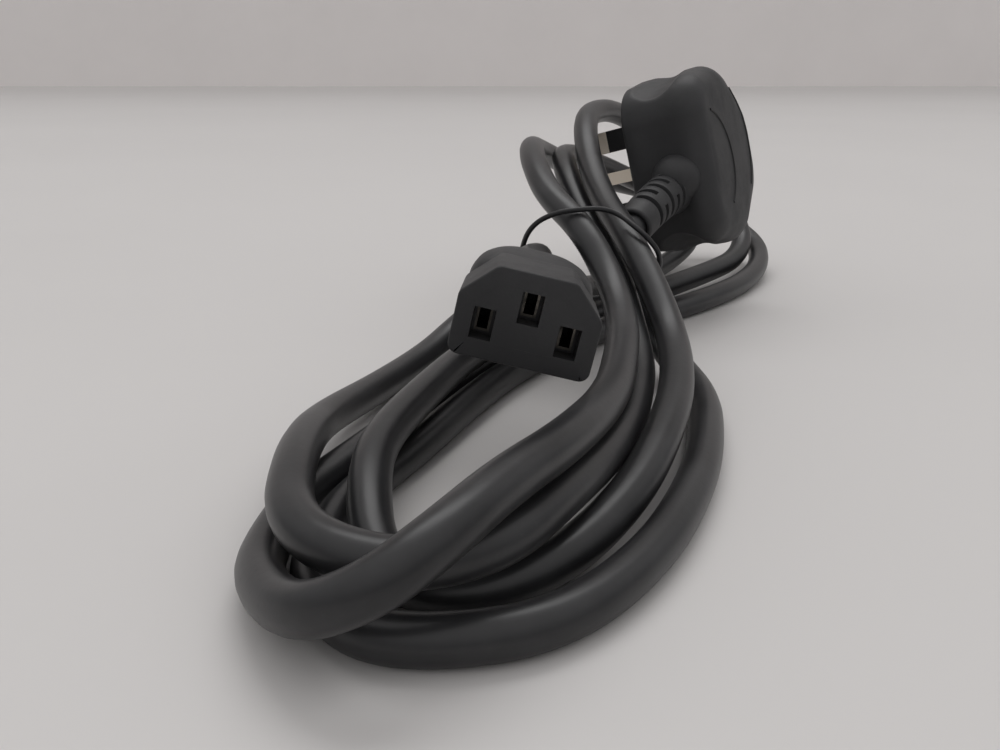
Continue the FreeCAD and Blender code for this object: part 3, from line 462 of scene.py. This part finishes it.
def plugShape():
    settings = plugSettings
    bm = bmesh.new()
    half = settings['outline']
    corners = [(across, -upward) for across, upward in half] + list(reversed(half))
    verts = [bm.verts.new((0, across, upward)) for across, upward in corners]
    bm.faces.new(verts)
    for vert, size in zip(verts, settings['cornerCuts'] + settings['cornerCuts'][::-1]):
        bmesh.ops.bevel(bm, geom=[vert], offset=size, offset_type='OFFSET', segments=settings['cornerSteps'],
                        profile=0.5, affect='VERTICES', material=-1)
    for edge in list(bm.edges):
        cuts = int(edge.calc_length() / settings['longestEdge'])
        if cuts:
            bmesh.ops.subdivide_edges(bm, edges=[edge], cuts=cuts)
    bm.faces.ensure_lookup_table()
    front = face = bm.faces[0]
    face.normal_update()
    loop = [step.vert for step in face.loops]
    turn = 1 if face.normal.x > 0 else -1
    outward = {}
    for index, vert in enumerate(loop):
        run = loop[(index + 1) % len(loop)].co - loop[index - 1].co
        outward[round(vert.co.y, 3), round(vert.co.z, 3)] = Vector((0, run.z, -run.y)).normalized() * turn
    depth, layers = settings['depth'], settings['layers']
    stations = [depth * (1 - math.cos(math.pi * layer / layers)) / 2 for layer in range(layers + 1)]
    for before, after in zip(stations, stations[1:]):
        face = pushFace(bm, face, (after - before, 0, 0), keepFirst=before == 0)
    for vert in bm.verts:
        spot = vert.co - outward[round(vert.co.y, 3), round(vert.co.z, 3)] * roundInset(vert.co.x)
        spot.y += nearHollow(spot.x, spot.y)
        spot.z = math.copysign(softLimit(abs(spot.z), gripLimit(spot.x, spot.y), settings['gripEase']), spot.z)
        vert.co = spot
    for share in settings['rearRings']:
        face = pushFace(bm, face, (0, 0, 0))
        for vert in face.verts:
            vert.co.y = settings['rearMiddle'] + (vert.co.y - settings['rearMiddle']) * share
            vert.co.z *= share
    for vert in bm.verts:
        if vert.co.x > depth - settings['rearTouch']:
            away = Vector((vert.co.y - settings['rearMiddle'], vert.co.z)).length / settings['rearReach']
            vert.co.x += settings['rearDome'] * max(0, 1 - away * away)
    if not front.is_valid:  # an extrusion may take the front face along, and then it is filled again
        loose = [edge for edge in bm.edges if edge.is_boundary]
        front = bmesh.ops.edgeloop_fill(bm, edges=loose)['faces'][0]
    bmesh.ops.inset_region(bm, faces=[front], thickness=settings['rimInset'], use_even_offset=False)
    for vert in front.verts:
        vert.co.y, vert.co.z = onBridgeEdge(vert.co.y, vert.co.z)
    pushFace(bm, front, (settings['roomDepth'], 0, 0))
    bmesh.ops.recalc_face_normals(bm, faces=bm.faces)
    bmesh.ops.transform(bm, matrix=leanTurn @ millimetre, verts=bm.verts)
    return bm


connectorSettings = {
    'place': (35, -140, -9.5),
    'turns': (('Z', 118), ('Y', 3), ('X', 13)),
    'half': (11.8, 7.8),
    'bevel': 5.4,
    'cornerRound': [1.8, 1.8, 0.7, 0.7, 0.7, 0.7],
    'cornerSteps': 8,
    'rimSteps': 5,
    'length': 16.0,
    'frontRound': 0.35,
    'backRound': 0.8,
    'insertMargin': 2.4,
    'cornerMerge': 1.2,
    'lipOver': 0.55,
    'lipProud': 0.03,
    'insertSunk': 15.0,
    'hood': [(15.4, 9.6, 6.6), (15.9, 10.5, 7.2), (16.6, 10.9, 7.6), (18, 11.3, 7.9), (21, 11.5, 8.1),
             (24.5, 11.3, 8.1), (27.5, 10.7, 7.9), (30, 9.9, 7.5), (32.5, 8.8, 6.9), (34.5, 7.8, 6.4),
             (35.8, 7.1, 6.0), (36.4, 6.2, 5.4)],  # distance from the face, half width, half height
    'hoodSides': 80,
    'hoodPower': 2.9,
    'tailFrom': 35.2,
    'sharpFrom': 35,
}
connectorTurn = Matrix.Translation(Vector(connectorSettings['place']))
for axis, angle in connectorSettings['turns']:
    connectorTurn = connectorTurn @ Matrix.Rotation(math.radians(angle), 4, axis)


def largestFront(bm):
    bm.normal_update()
    facing = [face for face in bm.faces if face.calc_center_median().x < 0.01]
    return max(facing, key=lambda face: face.calc_area())


def mergeClose(bm, verts, reach):
    groups = []  # a corner's points cross where the inset is wider than its round, so they become one
    for vert in verts:
        near = [group for group in groups if (group[0].co - vert.co).length < reach]
        if near:
            near[0].append(vert)
        else:
            groups.append([vert])
    for group in groups:
        middle = sum((vert.co for vert in group), Vector()) / len(group)
        bmesh.ops.pointmerge(bm, verts=group, merge_co=middle)


def connectorShell():
    settings = connectorSettings
    wide, high = settings['half']
    cut = settings['bevel']
    bm = bmesh.new()
    corners = [(-wide, -high), (wide, -high), (wide, high - cut), (wide - cut, high), (cut - wide, high),
               (-wide, high - cut)]
    verts = [bm.verts.new((0, across, upward)) for across, upward in corners]
    bm.faces.new(verts)
    for vert, size in zip(verts, settings['cornerRound']):
        bmesh.ops.bevel(bm, geom=[vert], offset=size, offset_type='OFFSET',
                        segments=settings['cornerSteps'], profile=0.5, affect='VERTICES', material=-1)
    bm.faces.ensure_lookup_table()
    pushFace(bm, bm.faces[0], (settings['length'], 0, 0), keepFirst=True)
    rims = [edge for edge in bm.edges if len({round(vert.co.x, 3) for vert in edge.verts}) == 1]
    backRim = [edge for edge in rims if edge.verts[0].co.x > settings['length'] / 2]
    frontRim = [edge for edge in rims if edge.verts[0].co.x < settings['length'] / 2]
    for rim, size in ((backRim, settings['backRound']), (frontRim, settings['frontRound'])):
        bmesh.ops.bevel(bm, geom=rim, offset=size, offset_type='OFFSET', segments=settings['rimSteps'],
                        profile=0.5, affect='EDGES', material=-1)
    margin = settings['insertMargin'] - settings['frontRound'] + settings['lipOver']
    bmesh.ops.inset_region(bm, faces=[largestFront(bm)], thickness=margin, use_even_offset=True)
    mergeClose(bm, largestFront(bm).verts, settings['cornerMerge'])
    front = largestFront(bm)
    bmesh.ops.translate(bm, vec=(-settings['lipProud'], 0, 0), verts=front.verts)
    pushFace(bm, front, (settings['insertSunk'], 0, 0))
    bmesh.ops.recalc_face_normals(bm, faces=bm.faces)
    bmesh.ops.transform(bm, matrix=millimetre @ connectorTurn, verts=bm.verts)
    return bm


def connectorHood():
    settings = connectorSettings
    stations = settings['hood']
    bm = bmesh.new()
    bmesh.ops.create_circle(bm, cap_ends=True, segments=settings['hoodSides'], radius=1)
    bm.faces.ensure_lookup_table()
    face = bm.faces[0]
    for number in range(1, len(stations)):
        face = pushFace(bm, face, (0, 0, 1), keepFirst=number == 1)
    for vert in bm.verts:
        along, wide, high = stations[round(vert.co.z)]
        across = math.copysign(abs(vert.co.x) ** (2 / settings['hoodPower']), vert.co.x) * wide
        upward = math.copysign(abs(vert.co.y) ** (2 / settings['hoodPower']), vert.co.y) * high
        vert.co = (along, across, upward)
    bmesh.ops.recalc_face_normals(bm, faces=bm.faces)
    bmesh.ops.transform(bm, matrix=millimetre @ connectorTurn, verts=bm.verts)
    return bm


def connectorTail():
    bm = bmesh.new()  # the ringed end of the CAD mesh, cut off where the hood covers it
    bm.from_mesh(nodes['connector_overmould'].data)
    bmesh.ops.remove_doubles(bm, verts=bm.verts, dist=0.000002)
    turn = millimetre @ connectorTurn
    bmesh.ops.bisect_plane(bm, geom=bm.verts[:] + bm.edges[:] + bm.faces[:], dist=0.0000001,
                           plane_co=turn @ Vector((connectorSettings['tailFrom'], 0, 0)),
                           plane_no=turn.to_3x3() @ Vector((1, 0, 0)), clear_inner=True)
    return bm


def reliefStations():
    settings = reliefSettings
    whole = (Vector(settings['tip']) - Vector(settings['root'])).length
    last = settings['profile'][-1]
    stations = list(settings['profile'])

    def radiusAt(along):
        return last[1] + (settings['tipRadius'] - last[1]) * (along - last[0]) / (whole - last[0])

    for start in settings['slotAt']:
        stations += [(start, radiusAt(start)), (start + settings['slotWidth'], radiusAt(start))]
        middle = start + settings['slotWidth'] + settings['ringMiddle']
        stations.append((middle, radiusAt(start) * settings['ringWaist']))
    for step in range(settings['tipSteps'] + 1):
        bend = math.radians(90 * step / settings['tipSteps'])
        stations.append((whole - settings['tipRound'] * (1 - math.sin(bend)),
                         settings['tipRadius'] - settings['tipRound'] * (1 - math.cos(bend))))
    stations.append((whole - settings['collarEdge'], settings['collarInner'] + settings['collarLip']))
    stations.append((whole - settings['collarDepth'], settings['collarInner']))
    return whole, stations


def reliefShape():
    settings = reliefSettings
    whole, stations = reliefStations()
    bm = bmesh.new()
    ring = bmesh.ops.create_circle(bm, segments=settings['sides'], radius=1)['verts']
    edges = list({edge for vert in ring for edge in vert.link_edges})
    for number, (along, radius) in enumerate(stations):
        if number:
            grown = bmesh.ops.extrude_edge_only(bm, edges=edges)['geom']
            ring = [item for item in grown if isinstance(item, bmesh.types.BMVert)]
            edges = [item for item in grown if isinstance(item, bmesh.types.BMEdge) and
                     all(vert in ring for vert in item.verts)]
        for vert in ring:
            flat = vert.co.xy.normalized() * radius
            vert.co = (flat.x, flat.y, along)
    for number, start in enumerate(settings['slotAt']):
        web = settings['webFirst'] + 90 * number
        cells = []
        for face in bm.faces:
            spot = face.calc_center_median()
            if start + settings['slotEdge'] < spot.z < start + settings['slotWidth'] - settings['slotEdge']:
                angle = math.degrees(math.atan2(spot.y, spot.x)) - web
                if abs((angle + 90) % 180 - 90) > settings['webHalf']:
                    cells.append(face)
        grown = bmesh.ops.extrude_face_region(bm, geom=cells)['geom']
        bmesh.ops.delete(bm, geom=[face for face in cells if face.is_valid], context='FACES')
        for vert in (item for item in grown if isinstance(item, bmesh.types.BMVert)):
            vert.co.xy -= vert.co.xy.normalized() * settings['slotDepth']
    bmesh.ops.recalc_face_normals(bm, faces=bm.faces)
    rims = [edge for edge in bm.edges if edge.is_manifold and edge.calc_face_angle() > settings['rimSharpness']]
    bmesh.ops.bevel(bm, geom=rims, offset=settings['rimRound'], offset_type='OFFSET',
                    segments=settings['rimSteps'], profile=0.5, affect='EDGES', material=-1, clamp_overlap=True)
    root, tip = Vector(settings['root']), Vector(settings['tip'])
    chord = (tip - root).normalized()
    level = Vector((1, 0, 0))
    for vert in bm.verts:
        share = vert.co.z / whole
        heading = (chord * whole + Vector((0, 0, settings['rise'] * 4 * (1 - 2 * share)))).normalized()
        upward = heading.cross(level).normalized()
        middle = root + chord * vert.co.z + Vector((0, 0, settings['rise'] * 4 * share * (1 - share)))
        vert.co = middle + level * vert.co.x + upward * vert.co.y
    bmesh.ops.recalc_face_normals(bm, faces=bm.faces)
    bmesh.ops.transform(bm, matrix=millimetre, verts=bm.verts)
    return bm


def domeShape():
    bm = bmesh.new()
    bmesh.ops.create_uvsphere(bm, u_segments=domeSettings['sides'], v_segments=domeSettings['rows'],
                              radius=domeSettings['radius'])
    bmesh.ops.scale(bm, vec=domeSettings['flatten'], verts=bm.verts)
    bmesh.ops.translate(bm, vec=domeSettings['middle'], verts=bm.verts)
    bmesh.ops.transform(bm, matrix=millimetre, verts=bm.verts)
    return bm


arcPlaces = {
    'inner': {'middle': (-6.7, -2.3), 'radius': 15.5, 'from': 77, 'to': -51, 'points': 17},
    'outer': {'middle': (8.0, 2.0), 'radius': 20.5, 'from': 54, 'to': -39, 'points': 19},
}
arcSettings = {
    'width': 0.8,
    'sunk': 0.05,
    'startFrom': 40,
    'stepsPerPoint': 4,
    'bevelSteps': 2,
}


def rearArc(name, arc, surface):
    inward = leanTurn.to_3x3() @ Vector((-1, 0, 0))
    steps = arc['points'] - 1
    points = []
    for step in range(steps + 1):
        angle = math.radians(arc['from'] + (arc['to'] - arc['from']) * step / steps)
        across = arc['middle'][0] + arc['radius'] * math.cos(angle)
        upward = arc['middle'][1] + arc['radius'] * math.sin(angle)
        start = millimetre @ leanTurn @ Vector((arcSettings['startFrom'], across, upward))
        spot = surface.ray_cast(start, inward)[0]
        points.append(spot + inward * arcSettings['sunk'] * 0.001)
    return splineCurve(name, points, arcSettings['width'] / 2000, arcSettings['stepsPerPoint'],
                       arcSettings['bevelSteps'])


for name, shape in (('connectorShell', connectorShell), ('connectorHood', connectorHood),
                    ('connectorTail', connectorTail)):
    piece = smoothed(meshPiece(name, shape(), finishes['moulding']), connectorSettings['sharpFrom'])
    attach(piece, 'plug')
    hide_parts('connector_overmould')
print('connector')

plugMesh = plugShape()
rearSurface = BVHTree.FromBMesh(plugMesh)
plugMoulding = smoothed(meshPiece('plugMoulding', plugMesh, finishes['moulding']))
reliefSleeve = smoothed(meshPiece('reliefSleeve', reliefShape(), finishes['moulding']))
reliefDome = smoothed(meshPiece('reliefDome', domeShape(), finishes['moulding']))
rearArcs = [rearArc(side + 'RearArc', arc, rearSurface) for side, arc in arcPlaces.items()]
# The thin arc beads carry painted groove shade in their darker finish.
for piece in rearArcs:
    piece.data.materials.append(finishes['rear_arc_painted_shade'])
for piece in (plugMoulding, reliefSleeve, reliefDome, *rearArcs):
    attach(piece, 'plug')
    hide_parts('plug_overmould')
print('plug moulding and relief')


cameraSettings = {
    'eye': (0.1005, -0.2623, 0.028),
    'heading': (-0.474, 0.821, -0.3173),
    'lens': 32.4,
}
stageSettings = {
    'tableHeight': -0.042,
    'tableSize': 14.0,
    'wallDistance': 5.2,
    'tableColour': (0.66, 0.645, 0.635, 1),
    'wallColour': (0.97, 0.935, 0.92, 1),
}


def tableFinish(name, colour):
    recipe = Recipe(name, **{'Specular IOR Level': 0.2})
    tone = recipe.noise(3.0, 4, 0.6)
    deep = tuple(part * 0.93 for part in colour[:3]) + (1,)
    return recipe.finish(Base_Color=recipe.colours(tone, deep, colour), Roughness=tone * 0.1 + 0.6)


eye = Vector(cameraSettings['eye'])
heading = Vector(cameraSettings['heading']).normalized()
level = Vector((heading.x, heading.y, 0)).normalized()
table = bmesh.new()
bmesh.ops.create_grid(table, x_segments=2, y_segments=2, size=stageSettings['tableSize'] / 2)
bmesh.ops.translate(table, vec=(0, 0, stageSettings['tableHeight']), verts=table.verts)
tablePiece = meshPiece('table', table, tableFinish('tableTop', stageSettings['tableColour']))
wall = bmesh.new()
bmesh.ops.create_grid(wall, x_segments=2, y_segments=2, size=stageSettings['tableSize'] / 2)
bmesh.ops.rotate(wall, matrix=Matrix.Rotation(math.radians(90), 3, 'X'), verts=wall.verts)
bmesh.ops.rotate(wall, matrix=Matrix.Rotation(math.atan2(-level.x, level.y), 3, 'Z'), verts=wall.verts)
bmesh.ops.translate(wall, vec=level * stageSettings['wallDistance'], verts=wall.verts)
wallPiece = meshPiece('wall', wall, tableFinish('wallPaint', stageSettings['wallColour']))

cameraData = bpy.data.cameras.new('camera')
cameraData.sensor_width = 36
cameraData.lens = cameraSettings['lens']
cameraData.clip_start = 0.005
cameraData.clip_end = 50
camera = bpy.data.objects.new('camera', cameraData)
camera.location = eye
camera.rotation_euler = heading.to_track_quat('-Z', 'Y').to_euler()
scene.collection.objects.link(camera)
scene.camera = camera

lampSettings = {
    'sunStrength': 1.5,
    'sunAngle': 50,
    'sunHeading': (0.35, -0.72, -1.0),
    'skyStrength': 0.75,
    # heights from straight down at 0 to straight up at 1, with the horizon at 0.5
    'sky': [(0.0, (0.12, 0.12, 0.12, 1)), (0.5, (0.24, 0.24, 0.25, 1)), (0.75, (0.86, 0.85, 0.85, 1)),
            (1.0, (1.22, 1.20, 1.20, 1))],
}
sunData = bpy.data.lights.new('sun', 'SUN')
sunData.energy = lampSettings['sunStrength']
sunData.angle = math.radians(lampSettings['sunAngle'])
sun = bpy.data.objects.new('sun', sunData)
sun.rotation_euler = Vector(lampSettings['sunHeading']).to_track_quat('-Z', 'Y').to_euler()
scene.collection.objects.link(sun)
world = bpy.data.worlds.new('sky')
world.use_nodes = True
scene.world = world
skyNodes = world.node_tree.nodes
skyLinks = world.node_tree.links
skyRamp = skyNodes.new('ShaderNodeValToRGB')
for stop in range(len(lampSettings['sky']) - 2):
    skyRamp.color_ramp.elements.new(0.5)
for stop, (place, colour) in zip(skyRamp.color_ramp.elements, lampSettings['sky']):
    stop.position = place
    stop.color = colour
skyHeight = skyNodes.new('ShaderNodeSeparateXYZ')
skyHalf = skyNodes.new('ShaderNodeMath')
skyHalf.operation = 'MULTIPLY_ADD'
skyHalf.inputs[1].default_value = 0.5
skyHalf.inputs[2].default_value = 0.5
skyLinks.new(skyNodes.new('ShaderNodeTexCoord').outputs['Generated'], skyHeight.inputs[0])
skyLinks.new(skyHeight.outputs['Z'], skyHalf.inputs[0])
skyLinks.new(skyHalf.outputs[0], skyRamp.inputs[0])
skyLinks.new(skyRamp.outputs[0], skyNodes['Background'].inputs['Color'])
skyNodes['Background'].inputs['Strength'].default_value = lampSettings['skyStrength']
print('stage, camera and lamps')
